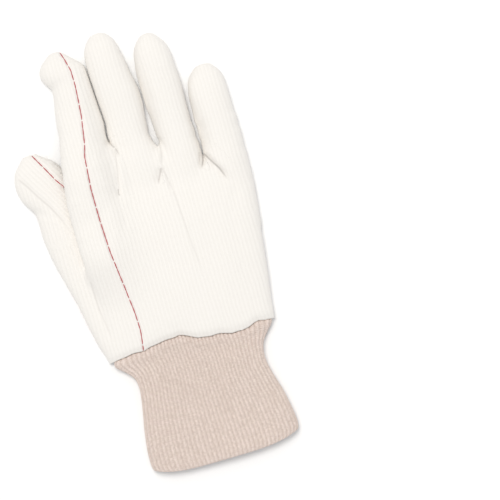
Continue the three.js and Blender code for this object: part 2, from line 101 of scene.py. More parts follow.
# Sections: y, the edge towards the thumb, the edge towards the little finger, and the height.
SECTIONS = {
    "hand": [
        (60, -46.0, 57.0, 13.4),
        (75, -46.5, 57.5, 13.7),
        (85, -46.5, 58.6, 15.0),
        (100, -45.4, 60.7, 16.0),
        (115, -44.8, 62.7, 16.5),
        (130, -45.4, 64.6, 16.5),
        (141, -45.9, 66.2, 16.5),
        (150, -46.1, 67.1, 16.0),
        (160, -44.8, 67.5, 14.9),
        (170, -43.1, 65.5, 13.2),
        (177, -39.2, 56.0, 10.9),
        (185, -32.5, 31.4, 8.2),
    ],
    "index": [
        (150, -45.0, -8.0, 12.3),
        (170, -45.0, -7.4, 13.5),
        (185, -43.4, -7.0, 13.9),
        (195, -41.8, -7.0, 13.7),
        (200, -41.0, -7.2, 13.5),
        (204, -40.2, -9.0, 13.3),
        (208, -39.7, -10.1, 13.2),
        (212, -38.6, -9.5, 13.1),
        (216, -37.8, -8.9, 13.1),
        (223, -37.3, -9.1, 13.1),
        (230, -36.3, -9.6, 13.1),
        (238, -34.7, -9.9, 13.1),
        (243, -34.0, -10.1, 12.6),
        (246, -34.3, -10.2, 12.3),
        (248.5, -36.5, -10.3, 12.0),
        (253.5, -38.8, -10.6, 11.5),
        (257.5, -38.2, -13.8, 10.5),
        (261, -36.0, -17.2, 9.0),
        (264, -32.2, -20.8, 7.2),
    ],
    "middle": [
        (150, -9.0, 19.5, 12.3),
        (175, -8.0, 19.0, 13.5),
        (190, -7.0, 17.8, 13.7),
        (200, -6.9, 15.6, 13.1),
        (204, -8.8, 15.2, 13.1),
        (208, -9.9, 15.3, 13.1),
        (212, -9.3, 15.7, 13.2),
        (216, -8.7, 16.1, 13.3),
        (223, -8.9, 16.7, 13.4),
        (230, -9.4, 16.9, 13.5),
        (240, -9.9, 15.2, 13.1),
        (250, -10.1, 13.7, 12.4),
        (256, -9.8, 12.5, 11.6),
        (261, -9.0, 11.6, 10.5),
        (265, -7.2, 10.2, 9.0),
        (268, -4.4, 7.8, 7.2),
    ],
    "ring": [
        (145, 16.5, 45.0, 12.3),
        (170, 17.2, 44.0, 13.5),
        (185, 18.6, 42.6, 13.5),
        (195, 19.2, 42.0, 13.3),
        (205, 19.0, 41.7, 13.1),
        (215, 18.4, 41.9, 13.3),
        (228, 18.0, 42.4, 13.5),
        (240, 18.0, 42.0, 13.1),
        (247, 18.6, 41.5, 12.5),
        (252, 19.5, 40.4, 11.6),
        (256, 21.0, 38.6, 10.3),
        (259.5, 24.2, 35.8, 8.2),
    ],
    "little": [
        (130, 42.0, 65.0, 12.1),
        (150, 42.0, 67.3, 13.3),
        (165, 42.4, 68.5, 13.5),
        (178, 43.4, 68.8, 13.5),
        (186, 43.9, 69.1, 13.1),
        (195, 44.2, 69.1, 13.3),
        (208, 44.5, 69.1, 13.3),
        (216, 45.0, 69.1, 12.8),
        (221, 45.5, 69.0, 12.0),
        (225, 46.3, 68.4, 10.9),
        (229, 48.2, 67.0, 9.4),
        (232, 51.2, 64.5, 7.6),
    ],
    "thumb": [
        (62, -46.5, -33.0, 9.3),
        (76, -47.0, -33.0, 9.4),
        (88, -50.6, -31.5, 10.2),
        (100, -53.2, -30.0, 10.5),
        (115, -55.8, -28.0, 10.5),
        (130, -59.4, -26.5, 10.5),
        (143, -62.2, -26.0, 10.5),
        (152, -63.6, -27.5, 10.5),
        (160, -64.2, -31.0, 10.5),
        (170, -64.2, -33.5, 10.2),
        (175.5, -64.8, -35.0, 10.1),
        (180, -67.8, -36.0, 10.1),
        (184, -70.3, -37.5, 10.2),
        (190, -71.9, -39.0, 10.1),
        (197, -72.0, -41.3, 9.8),
        (202.5, -70.6, -44.5, 9.0),
        (206, -67.7, -48.5, 7.8),
        (208.5, -64.6, -52.8, 6.4),
    ],
    "index_web": [
        (158, -16.5, 2.0, 12.6),
        (180, -15.5, 1.5, 12.9),
        (196, -14.0, 0.0, 12.2),
        (202, -13.5, -2.5, 10.4),
    ],
    "middle_web": [
        (150, 10.0, 26.0, 12.6),
        (175, 10.0, 26.0, 12.9),
        (187, 11.5, 25.5, 12.0),
        (192, 13.5, 24.0, 10.2),
    ],
    "ring_web": [
        (140, 37.0, 51.0, 12.6),
        (165, 36.5, 51.5, 12.9),
        (176, 38.0, 50.0, 11.6),
        (180, 40.0, 47.0, 9.6),
    ],
}

# How far up each tube's tip reaches
TIPS = {
    "hand": 186,
    "index": 267.0,
    "middle": 271.2,
    "ring": 262.7,
    "little": 235.3,
    "thumb": 211.4,
    "index_web": 205.5,
    "middle_web": 195.0,
    "ring_web": 182.5,
}

# The cuff: y, its edge towards the thumb, its edge towards the little finger, its height, how square it
# is, and how far its under side is off the ground.
CUFF = [
    (0, -39.6, 51.7, 10.6, 5.0, 0.0),
    (3, -40.3, 52.4, 11.0, 5.0, 0.0),
    (11, -40.5, 52.4, 11.0, 5.0, 0.0),
    (20, -40.0, 51.5, 11.0, 5.0, 0.0),
    (30, -38.6, 49.8, 11.0, 5.0, 0.0),
    (40, -36.6, 47.0, 11.0, 5.0, 0.0),
    (50, -34.8, 44.8, 11.0, 5.0, 0.0),
    (57, -34.2, 44.9, 11.0, 5.0, 0.1),
    (63, -35.6, 46.9, 11.0, 4.4, 0.4),
    (68, -40.0, 51.0, 11.0, 3.6, 1.2),
    (72, -44.4, 54.4, 11.2, 3.0, 2.6),
    (78, -43.6, 55.0, 11.3, 3.0, 2.7),
    (84, -43.6, 56.2, 11.5, 3.0, 2.7),
]

# The edge of the hem on the back of the hand: x, and how far it is up from its line.
HEM_EDGE = [(-52, 0.0), (-25, 2.5), (-2, 5.2), (9, 0.3), (20, -0.6)]
HEM_EDGE += [(30, -2.8), (41, -2.0), (47, 0.2), (58, -1.4)]

# The clefts between the fingers: where each starts, and its line, from the crotch up.
CLEFTS = [
    (
        205.0,
        [(190, -7.0), (200, -7.1), (204, -8.9), (208, -10.0), (212, -9.4), (216, -8.8)]
        + [(230, -9.5), (250, -10.3)],
    ),
    (196.0, [(190, 18.6), (200, 17.4), (215, 17.2), (255, 17.2)]),
    (182.0, [(180, 43.2), (205, 43.3), (225, 44.2)]),
]

# The thin folded line on the back of the thumb
THUMB_LINE = [(-69.5, 199.5), (-65.0, 193), (-60.0, 184.5), (-55.0, 177), (-50.0, 167), (-46.5, 154)]

THUMB_TURN = 153  # above this, the cords past that line run aslant

# Creases: the face, how deep and how wide the cloth is drawn in, how much it stands up to the left of the
# line and lies down to the right of it, how much shade is painted into the fold, and the line.
CREASES = [
    ("back", 1.5, 1.3, 0.5, 1.2, [(-10.1, 207), (-9.4, 204), (-7.2, 200.5), (-6.0, 197), (-5.4, 194)]),
    ("back", 1.0, 1.4, 0.4, 0.45, [(-7.0, 201), (-8.6, 192), (-9.8, 185), (-11.2, 178), (-12.5, 171)]),
    ("back", 1.0, 1.3, 0.2, 1.4, [(-11.9, 176), (-12.4, 173.5), (-12.8, 171)]),
    ("back", 0.5, 2.4, 0.0, 0.0, [(-12.5, 173), (-13.2, 164), (-13.4, 150)]),
    ("back", 0.9, 1.3, -0.7, 0.5, [(18.4, 199), (19.6, 194), (18.6, 187), (16.6, 180)]),
    ("back", 1.8, 1.6, 0.4, 1.1, [(16.6, 181), (14.2, 176.5), (11.5, 171)]),
    ("back", 1.2, 1.5, -0.3, 0.5, [(16.4, 181), (17.8, 177), (18.6, 172), (19.6, 164)]),
    ("back", 0.6, 1.5, -0.2, 0.28, [(18.6, 174), (19.8, 162), (20.6, 150), (21, 140), (21.6, 128), (24, 106)]),
    ("back", 2.3, 1.3, 0.3, 1.8, [(43.4, 183.5), (42.0, 178), (39.6, 173)]),
    ("back", 2.1, 1.3, 0.6, 1.5, [(43.4, 182.5), (46.6, 176.8), (50.2, 171), (54.0, 161)]),
    ("back", 0.6, 2.5, 0.0, 0.0, [(50.2, 172), (55.0, 160), (57.0, 145)]),
    ("back", 0.8, 2.6, 0.0, 0.0, [(-34.5, 244), (-30.0, 246.5), (-25.5, 250)]),
    ("back", 0.5, 1.4, -0.2, 0.35, [(-44.2, 128), (-44.0, 110), (-42.5, 98), (-41.0, 84)]),
    ("back", 0.3, 2.4, 0.0, 0.0, [(30.0, 168), (33.0, 150), (34.5, 130)]),
    ("back", 0.3, 2.6, 0.0, 0.0, [(-20.0, 150), (-16.0, 128), (-14.5, 104)]),
    ("back", 0.3, 2.4, 0.0, 0.0, [(50.0, 150), (49.0, 125), (46.0, 100)]),
    ("thumb", 0.5, 1.0, 0.1, 0.5, THUMB_LINE),
    ("thumb", 0.6, 2.4, 0.0, 0.0, [(-67.0, 177), (-62.0, 175), (-56.0, 170)]),
    ("palm", 1.6, 1.5, 0.3, 0.8, [(-7.6, 201), (-10.5, 196), (-13.0, 187), (-16.0, 180)]),
    ("palm", 1.6, 1.4, 0.3, 0.8, [(15.0, 194), (17.2, 197), (20.0, 196)]),
    ("palm", 1.2, 1.4, 0.2, 0.6, [(17.2, 197), (15.4, 190), (12.0, 183)]),
    ("palm", 1.5, 1.4, 0.3, 0.8, [(41.0, 178), (43.6, 183.5), (47.0, 182), (49.5, 184)]),
    ("palm", 0.6, 1.8, 0.2, 0.3, [(-22.2, 143), (-22.0, 124), (-22.8, 109), (-24.2, 80)]),
]

# Soft swellings and hollows of the back: x, y, how far they reach across and along, and their height
SWELLINGS = [
    (15.5, 188, 5.0, 9.0, 0.9),
    (3.0, 186, 9.0, 9.0, 0.5),
    (31.0, 184, 8.0, 9.0, 0.5),
    (-20.0, 190, 9.0, 10.0, 0.5),
    (57.0, 172, 7.0, 10.0, 0.6),
    (-31.0, 256, 7.0, 7.0, 0.6),
    (-2.0, 120, 18.0, 26.0, 0.5),
    (38.0, 118, 16.0, 26.0, 0.4),
    (-32.0, 112, 10.0, 16.0, 0.4),
    (20.0, 222, 4.5, 26.0, -1.5),
    (46.0, 198, 4.5, 15.0, -1.9),
    (-12.0, 226, 4.0, 24.0, -0.9),
]

# Seams: the face they are on, and their line. Those on the palm face run from the fingertips down.
SEAMS = {
    "index_back": (
        "back",
        [(-23, 265.5), (-21.5, 261), (-19.5, 253), (-19.5, 243), (-21, 225), (-24, 207), (-26, 200)]
        + [(-27.8, 180), (-28, 160), (-27.3, 140), (-25.3, 120), (-23.5, 100), (-23.3, 90)]
        + [(-24.2, 83), (-25.2, 77)],
    ),
    "thumb_back": ("thumb", [(-57, 210), (-52, 201), (-47, 191.5), (-43.5, 186.5), (-38, 177), (-33, 168)]),
    "index_palm": (
        "palm",
        [(-27.4, 266), (-26.3, 253), (-25.9, 241), (-26.8, 218), (-28, 200), (-31.7, 183), (-32.6, 172)],
    ),
    "middle_palm": (
        "palm",
        [(-4.5, 269), (-4.2, 250), (-4.0, 230), (-3.4, 209), (-2.8, 194), (-3.9, 174), (-5.9, 159)]
        + [(-9.4, 141), (-12.2, 122), (-13.9, 106), (-15.9, 89), (-17.9, 75)],
    ),
    "ring_palm": (
        "palm",
        [(24.8, 261), (26.4, 249), (28.1, 230), (29.4, 208), (30.2, 191), (32.2, 174), (32.4, 158)]
        + [(31.4, 141), (30, 120), (29.1, 101), (27, 87), (25.6, 75)],
    ),
    "bar_tack": ("palm", [(-19.6, 76.6), (-14.6, 76.8)]),
    "little_palm": (
        "palm",
        [(56.5, 234), (60, 224), (61.9, 208), (62.8, 189), (63.1, 174), (63.0, 155)]
        + [(61, 130), (57.5, 100), (53, 75)],
    ),
    "thumb_palm": (
        "thumb_palm",
        [(-62.5, 210), (-64.5, 200), (-64.5, 186), (-62.5, 172), (-61.5, 155), (-59, 138), (-55.5, 118)]
        + [(-51.5, 98), (-46.5, 82), (-43.5, 75)],
    ),
}

def at(x, y, z=0.0):
    """A place in the tables' millimetres, in the frame."""
    return Vector((TABLE_X + x * MM, TABLE_Y + y * MM, z * MM))


def smooth(low, high, value):
    """0 before low, 1 past high, and a soft step between."""
    t = np.clip((value - low) / (high - low), 0.0, 1.0)
    return t * t * (3 - 2 * t)


def lift(x, y):
    """How far the side of the hand is lifted over the thumb."""
    return LIFT * smooth(-2, -36, x) * (smooth(104, 145, y) - smooth(185, 245, y))


def hold(x, y):
    """How much higher it is held while the skin is made, so that it keeps clear of the thumb."""
    return SETTLE * smooth(-18, -30, x) * (smooth(131, 150, y) - smooth(205, 240, y))


def spread(x, y):
    """How far the skin is moved across, at a place in the tables, to hold the fingers apart."""
    moved = 0.0
    for crotch, line in CLEFTS:
        middle = np.interp(y, *zip(*line))
        moved = moved + SPREAD * smooth(crotch - 8, crotch - 1, y) * (smooth(-0.5, 0.5, x - middle) - 0.5)
    return moved


def unspread(x, y):
    """Undoes spread at places in the skin, by halving the range that they can be in."""
    low, high = x - 2 * SPREAD, x + 2 * SPREAD
    for _ in range(16):
        middle = (low + high) / 2
        under = middle + spread(middle, y) < x
        low, high = np.where(under, middle, low), np.where(under, high, middle)
    return (low + high) / 2


def column(rows, key, y):
    """The value of a table's column at y, on a smooth line through its rows."""
    ys = [row[0] for row in rows]
    values = [row[key] for row in rows]
    i = int(np.clip(np.searchsorted(ys, y) - 1, 0, len(ys) - 2))
    t = (y - ys[i]) / (ys[i + 1] - ys[i])
    slopes = np.gradient(values, ys)
    h = ys[i + 1] - ys[i]
    return float(
        (2 * t**3 - 3 * t**2 + 1) * values[i]
        + (t**3 - 2 * t**2 + t) * h * slopes[i]
        + (3 * t**2 - 2 * t**3) * values[i + 1]
        + (t**3 - t**2) * h * slopes[i + 1]
    )


def add_ring(bm, name, y, left, right, high, points):
    """A closed ring of edges round one section, flat below where it rests."""
    square = HAND_SQUARENESS if name == "hand" else FINGER_SQUARENESS
    ring = bmesh.ops.create_circle(bm, segments=points, radius=1.0)["verts"]
    middle, half = (left + right) / 2, (right - left) / 2
    if name != "hand":
        half += DRAWN_IN
    for v in ring:
        c, s = v.co.x, v.co.y
        c = math.copysign(abs(c) ** (2 / square), c)
        s = math.copysign(abs(s) ** (2 / square), s)
        level = WAIST + (1 - WAIST) * s if s > 0 else WAIST * (1 - min(1, -s * FLATTEN))
        x = middle + half * c
        rise = 0.0 if name == "thumb" else float(lift(x, y) + hold(x, y))
        place = x if name == "hand" else middle
        apart = 0.0 if name == "thumb" else float(spread(place, y))
        v.co = at(x + apart, y, level * high + rise)
    return {e for v in ring for e in v.link_edges}


def add_tube(bm, name):
    """One closed tube through its sections, rounded at the tip."""
    rows = SECTIONS[name]
    points = 64 if name == "hand" else 36
    first, last = rows[0][0], rows[-1][0]
    steps = int((last - TIP_RINGS - first) / RING_STEP)
    places = [first + (last - TIP_RINGS - first) * i / steps for i in range(steps + 1)]
    places += [last - TIP_RINGS + i + 1 for i in range(TIP_RINGS)]
    rings = []
    for y in places:
        sizes = [column(rows, key, y) for key in (1, 2, 3)]
        rings.append(add_ring(bm, name, y, *sizes, points))
    left, right, high = [column(rows, key, last) for key in (1, 2, 3)]
    middle, half = (left + right) / 2, (right - left) / 2
    for share in (0.6, 0.93):
        y = last + (TIPS[name] - last) * share
        size = math.sqrt(1 - share**2)
        ring = add_ring(bm, name, y, middle - half * size, middle + half * size, high * size, points)
        for v in {v for e in ring for v in e.verts}:
            v.co.z += high * (1 - size) * 0.4 * MM
        rings.append(ring)
    for a, b in zip(rings, rings[1:]):
        bmesh.ops.bridge_loops(bm, edges=list(a | b))
    for end in (rings[0], rings[-1]):
        bmesh.ops.edgeloop_fill(bm, edges=list(end))


def new_object(name, mesh):
    obj = bpy.data.objects.new(name, mesh)
    bpy.context.scene.collection.objects.link(obj)
    return obj


def apply_modifiers(obj):
    """Keeps what the modifiers make as the object's own mesh."""
    graph = bpy.context.evaluated_depsgraph_get()
    made = bpy.data.meshes.new_from_object(obj.evaluated_get(graph))
    obj.modifiers.clear()
    obj.data = made


def glove_form():
    """The outside of the hand, the fingers and the thumb as one closed skin."""
    bm = bmesh.new()
    for name in SECTIONS:
        add_tube(bm, name)
    bmesh.ops.recalc_face_normals(bm, faces=bm.faces)
    mesh = bpy.data.meshes.new("glove_cloth")
    bm.to_mesh(mesh)
    bm.free()
    obj = new_object("glove_cloth", mesh)
    remesh = obj.modifiers.new("Remesh", "REMESH")
    remesh.mode = "VOXEL"
    remesh.voxel_size = VOXEL * MM
    apply_modifiers(obj)
    return obj


def read_points(obj):
    """The places and normals of an object's points, the places in the tables' millimetres."""
    count = len(obj.data.vertices)
    places = np.empty(count * 3)
    normals = np.empty(count * 3)
    obj.data.vertices.foreach_get("co", places)
    obj.data.vertex_normals.foreach_get("vector", normals)
    places = places.reshape(-1, 3)
    places = (places - (TABLE_X, TABLE_Y, 0)) / MM
    return places, normals.reshape(-1, 3)


def write_points(obj, places):
    obj.data.vertices.foreach_set("co", (places * MM + (TABLE_X, TABLE_Y, 0)).ravel())
    obj.data.update()


def add_numbers(obj, name, values):
    obj.data.attributes.new(name, "FLOAT", "POINT").data.foreach_set("value", values.astype(float))


def is_thumb(obj):
    """Which points are on the thumb, under the side of the hand."""
    values = np.empty(len(obj.data.vertices))
    obj.data.attributes["thumb"].data.foreach_get("value", values)
    return values > 0.5


def on_face(face, thumb, normals):
    """How much each point belongs to a face of the glove, from 0 to 1."""
    up = normals[:, 2]
    if face == "back":
        return smooth(-0.1, 0.3, up) * ~thumb
    if face == "thumb":
        return smooth(-0.1, 0.3, up) * thumb
    if face == "thumb_palm":
        return smooth(-0.1, 0.3, -up)
    return smooth(-0.1, 0.3, -up) * ~thumb


def measure(line):
    """A line's points, how long each stretch is, and how far along the line each point is."""
    ends = np.array(line, dtype=float)
    lengths = np.linalg.norm(np.diff(ends, axis=0), axis=1)
    return ends, lengths, np.concatenate([[0], np.cumsum(lengths)])


def to_line(line, places):
    """How far each point is to the right of a line, seen from above, and how far along it, from 0 to 1."""
    ends, lengths, starts = measure(line)
    best = np.full(len(places), np.inf)
    share = np.zeros(len(places))
    for a, b, length, start in zip(ends, ends[1:], lengths, starts):
        t = np.clip(((places[:, :2] - a) @ (b - a)) / length**2, 0, 1)
        apart = places[:, :2] - (a + t[:, None] * (b - a))
        away = np.linalg.norm(apart, axis=1)
        nearer = away < np.abs(best)
        right = np.where(apart[:, 0] * (b - a)[1] > apart[:, 1] * (b - a)[0], away, -away)
        best[nearer] = right[nearer]
        share[nearer] = (start + t[nearer] * length) / starts[-1]
    return best, share


def soften(obj, times, chosen=None):
    """Smooths the skin, or only the chosen points of it."""
    bm = bmesh.new()
    bm.from_mesh(obj.data)
    verts = bm.verts[:] if chosen is None else [v for v, here in zip(bm.verts, chosen) if here]
    for _ in range(times):
        bmesh.ops.smooth_vert(bm, verts=verts, factor=0.5, use_axis_x=True, use_axis_y=True, use_axis_z=True)
    bm.to_mesh(obj.data)
    bm.free()


def open_wrist(obj):
    """Cuts the skin off at the hem."""
    bm = bmesh.new()
    bm.from_mesh(obj.data)
    everything = bm.verts[:] + bm.edges[:] + bm.faces[:]
    bmesh.ops.bisect_plane(bm, geom=everything, plane_co=at(0, HEM_Y), plane_no=(0, -1, 0), clear_outer=True)
    bm.to_mesh(obj.data)
    bm.free()


def sharpen(obj):
    """Makes the skin finer beside the folds that get painted shade."""
    places, _ = read_points(obj)
    near = np.zeros(len(places), dtype=bool)
    for _, _, _, _, shade, line in CREASES:
        if shade > 0.4:
            away, _ = to_line(line, places)
            near |= np.abs(away) < 2.6
    bm = bmesh.new()
    bm.from_mesh(obj.data)
    edges = [e for e in bm.edges if near[e.verts[0].index] and near[e.verts[1].index]]
    bmesh.ops.subdivide_edges(bm, edges=edges, cuts=1, use_grid_fill=True)
    bm.to_mesh(obj.data)
    bm.free()


def mark_thumb(obj):
    """Notes which points are the thumb's, under the side of the hand."""
    places, _ = read_points(obj)
    x, y, z = places.T
    closed = unspread(x, y)
    under = z < lift(closed, y) + hold(closed, y) / 2
    add_numbers(obj, "thumb", (y > 132) & (y < 214) & ((under & (closed < -24)) | ((x < -46) & (z < 11))))


def close_up(obj):
    """Brings the fingers together again and lets the side of the hand down onto the thumb."""
    places, _ = read_points(obj)
    x, y, z = places.T
    thumb = is_thumb(obj)
    closed = unspread(x, y)
    places[:, 0] = np.where(thumb, x, closed)
    places[:, 2] = np.where(thumb, z, z - SINK * hold(closed, y))
    write_points(obj, places)


def hem_rise(x):
    """How far the hem's edge on the back of the hand is up from its line."""
    return np.interp(x, *zip(*HEM_EDGE)) + 0.25 * np.sin(x / 3.1) + 0.15 * np.sin(x / 1.7 + 1)


def wave_hem(obj):
    """Gives the hem its wavy edge on the back of the hand, and draws it down to the cuff."""
    places, normals = read_points(obj)
    x, y, z = places.T
    fade = (1 - smooth(HEM_Y, HEM_Y + 18, y)) * smooth(4, 7.5, z)
    from_edge = y - HEM_Y
    dip = 1.7 * np.exp(-((from_edge / 2.4) ** 2)) * smooth(0.0, 0.6, normals[:, 2])
    places[:, 2] -= dip
    rise = hem_rise(x)
    places[:, 1] += rise * fade
    below = (1 - smooth(HEM_Y, HEM_Y + 18, y)) * (1 - smooth(2, 5, z))
    places[:, 1] += (0.9 * np.sin(x / 8 + 1) + 0.4 * np.sin(x / 3.3)) * below
    write_points(obj, places)


def press_creases(obj):
    """Presses the creases and swellings into the cloth, while the fingers are apart."""
    places, normals = read_points(obj)
    thumb = is_thumb(obj)
    closed = places.copy()
    closed[:, 0] = np.where(thumb, places[:, 0], unspread(places[:, 0], places[:, 1]))
    moved = np.zeros(len(places))
    for face, depth, width, step, _, line in CREASES:
        away, share = to_line(line, closed)
        taper = smooth(0, 0.12, share) * (1 - smooth(0.7, 1, share)) * on_face(face, thumb, normals)
        groove = np.exp(-((away / width) ** 2))
        moved -= (depth * groove + step * np.tanh(away / 0.8) * np.exp(-((away / 4) ** 2))) * taper
    for x, y, across, along, height in SWELLINGS:
        away = np.hypot((closed[:, 0] - x) / across, (closed[:, 1] - y) / along)
        moved += height * np.exp(-(away**2)) * on_face("back", thumb, normals)
    places += normals * moved[:, None]
    write_points(obj, places)


def mark_folds(obj):
    """Notes how far each point is from the nearest fold with painted shade, and how much shade is painted
    there.
    """
    places, normals = read_points(obj)
    thumb = is_thumb(obj)
    fold = np.full(len(places), 9.0)
    fold_shade = np.zeros(len(places))
    for face, _, _, _, shade, line in CREASES:
        away, share = to_line(line, places)
        ends = smooth(0, 0.06, share) * (1 - smooth(0.6, 1, share))
        here = shade * ends * on_face(face, thumb, normals) * smooth(0.05, 0.25, np.abs(normals[:, 2]))
        nearest = (np.abs(away) < np.abs(fold)) & (here > 0.03)
        fold[nearest] = away[nearest]
        fold_shade[nearest] = here[nearest]
    add_numbers(obj, "fold", np.clip(fold, -9, 9))
    add_numbers(obj, "fold_shade", fold_shade)


def ruffle(obj):
    """The slight unevenness of soft cloth."""
    places, normals = read_points(obj)
    x, y, z = places.T
    wide = np.sin(x / 9 + y / 31) * np.sin(y / 17 - x / 40)
    wide = wide + 0.6 * np.sin(x / 5.3 - y / 23 + 2) * np.sin(y / 11 + 1)
    small = np.sin(x / 2.3 + np.sin(y / 7) * 2) * np.sin(y / 3.7 + np.sin(x / 5) * 2)
    off_ground = smooth(0.3, 3, z)
    places += normals * ((0.28 * wide + 0.05 * small) * off_ground)[:, None]
    places[:, 2] = np.maximum(places[:, 2], 0.02)
    write_points(obj, places)


def mark_cloth(obj):
    """Numbers that the cloth's finish follows: across the cords, and from the nearest seam."""
    places, normals = read_points(obj)
    x, y, _ = places.T
    thumb = is_thumb(obj)
    panel_side = np.interp(y, *zip(*sorted((q, p) for p, q in THUMB_LINE)))
    turned = thumb & (x > panel_side) & (y > THUMB_TURN) & (normals[:, 2] > 0)
    across = np.where(turned, x * math.cos(math.radians(30)) + y * math.sin(math.radians(30)), x)
    away, _ = to_line(THUMB_LINE, places)
    beside = smooth(0.6, 1.6, np.abs(away)) * smooth(0.6, 1.6, np.abs(y - THUMB_TURN))
    corded = np.where(thumb, beside, 1.0) * smooth(0.6, 0.8, np.abs(normals[:, 2]))
    seam = np.full(len(places), 9.0)
    for face, line in SEAMS.values():
        away, _ = to_line(line, places)
        seam = np.where(on_face(face, thumb, normals) > 0.5, np.minimum(seam, np.abs(away)), seam)
    add_numbers(obj, "across", across)
    add_numbers(obj, "corded", corded)
    add_numbers(obj, "seam", seam)


def pinch_seams(obj):
    """Draws the cloth in along the seams."""
    places, normals = read_points(obj)
    thumb = is_thumb(obj)
    moved = np.zeros(len(places))
    for face, line in SEAMS.values():
        away, _ = to_line(line, places)
        near = on_face(face, thumb, normals)
        beside = np.exp(-(((np.abs(away) - 2.0) / 1.1) ** 2))
        under = np.exp(-((away / 0.9) ** 2))
        moved += near * (0.2 * beside - 0.35 * under)
    places += normals * moved[:, None]
    places[:, 2] = np.maximum(places[:, 2], 0.02)
    write_points(obj, places)


def make_cloth():
    obj = glove_form()
    soften(obj, SMOOTHINGS)
    open_wrist(obj)
    mark_thumb(obj)
    press_creases(obj)
    close_up(obj)
    soften(obj, 2)
    x, y, z = read_points(obj)[0].T
    soften(obj, 14, (x > -51) & (x < -37) & (y > 124) & (y < 153) & (z > 7.5))
    sharpen(obj)
    pinch_seams(obj)
    wave_hem(obj)
    ruffle(obj)
    mark_folds(obj)
    mark_cloth(obj)
    wall = obj.modifiers.new("Wall", "SOLIDIFY")
    wall.thickness = CLOTH_WALL * MM
    wall.offset = -1
    apply_modifiers(obj)
    return obj


# Stitches


def walk(line, step):
    """Points along a line, evenly spaced, as x and y."""
    ends, _, starts = measure(line)
    places = np.arange(0, starts[-1], step)
    return np.stack([np.interp(places, starts, ends[:, 0]), np.interp(places, starts, ends[:, 1])], axis=1)


def on_cloth(tree, face, x, y):
    """The place and normal on the cloth over or under a point of a seam's line."""
    from_below = face in ("palm", "thumb_palm")
    if face == "thumb":
        start, direction = at(x, y, THUMB_INSIDE), Vector((0, 0, -1))
    elif from_below:
        start, direction = at(x, y, -5), Vector((0, 0, 1))
        if face == "palm" and lift(x, y) > 5:
            start = at(x, y, lift(x, y) - PALM_CLEAR)
    else:
        start, direction = at(x, y, 60), Vector((0, 0, -1))
    place, normal, _, _ = tree.ray_cast(start, direction)
    return place, normal


def add_stitch(bm, points):
    """A short thread along points on the cloth, sunk into it at both ends."""
    rings = []
    last = len(points) - 1
    for i, (place, normal) in enumerate(points):
        ahead = (points[min(i + 1, last)][0] - points[max(i - 1, 0)][0]).normalized()
        side = ahead.cross(normal).normalized()
        bulge = math.sin(math.pi * (0.17 + 0.66 * i / last)) ** 0.6
        radius = STITCH_RADIUS * MM * bulge
        middle = place + normal * (bulge * 0.3 - 0.22) * MM
        ring = bmesh.ops.create_circle(bm, segments=8, radius=1.0)["verts"]
        for v in ring:
            v.co = middle + side * v.co.x * radius + normal * v.co.y * radius
        rings.append({e for v in ring for e in v.link_edges})
    for a, b in zip(rings, rings[1:]):
        bmesh.ops.bridge_loops(bm, edges=list(a | b))
    for end in (rings[0], rings[-1]):
        bmesh.ops.edgeloop_fill(bm, edges=list(end))


def make_stitches(cloth):
    tree = BVHTree.FromObject(cloth, bpy.context.evaluated_depsgraph_get())
    bm = bmesh.new()
    for face, line in SEAMS.values():
        step = STITCH_LENGTH / STITCH_PARTS
        course = [on_cloth(tree, face, x, y) for x, y in walk(line, step)]
        for i in range(int((len(course) - 3) * step / (STITCH_LENGTH + STITCH_GAP)) + 1):
            start = round(i * (STITCH_LENGTH + STITCH_GAP) / step)
            points = [p for p in course[start : start + STITCH_PARTS + 1] if p[0]]
            if len(points) > 3:
                add_stitch(bm, points)
    bmesh.ops.recalc_face_normals(bm, faces=bm.faces)
    mesh = bpy.data.meshes.new("seam_stitches")
    bm.to_mesh(mesh)
    bm.free()
    return new_object("seam_stitches", mesh)


# Knit cuff


def cuff_loop(y, inset):
    """Evenly spaced points round the cuff's section at y, drawn in by inset, and their outward directions."""
    left, right, high, square, low = [column(CUFF, key, y) for key in range(1, 6)]
    neck_left, neck_right = column(CUFF, 1, NECK_Y), column(CUFF, 2, NECK_Y)
    flare_left = flare_right = 0.0
    if y > NECK_Y:
        flare_left, flare_right = left - neck_left, right - neck_right
        left, right = neck_left, neck_right
    angle = np.linspace(0, 2 * np.pi, 721)
    c, s = np.cos(angle), np.sin(angle)
    half, middle = (right - left) / 2 - inset, (left + right) / 2
    x = middle + half * np.sign(c) * np.abs(c) ** (2 / square)
    s = np.sign(s) * np.abs(s) ** (2 / square)
    top, bottom = high - inset, low + inset
    waist = bottom + WAIST * (top - bottom)
    z = np.where(s > 0, waist + (top - waist) * s, waist + (waist - bottom) * np.maximum(-1, s * FLATTEN))
    walked = np.concatenate([[0], np.cumsum(np.hypot(np.diff(x), np.diff(z)))])
    even = np.linspace(0, walked[-1], RIBS * RIB_POINTS + 1)
    x, z = np.interp(even, walked, x), np.interp(even, walked, z)
    ahead = np.stack([np.gradient(x), np.gradient(z)])
    ahead /= np.linalg.norm(ahead, axis=0)
    x = x + flare_left * np.exp((left - x) / FLARE_REACH) + flare_right * np.exp((x - right) / FLARE_REACH)
    return x, z, ahead[1], -ahead[0], middle, half


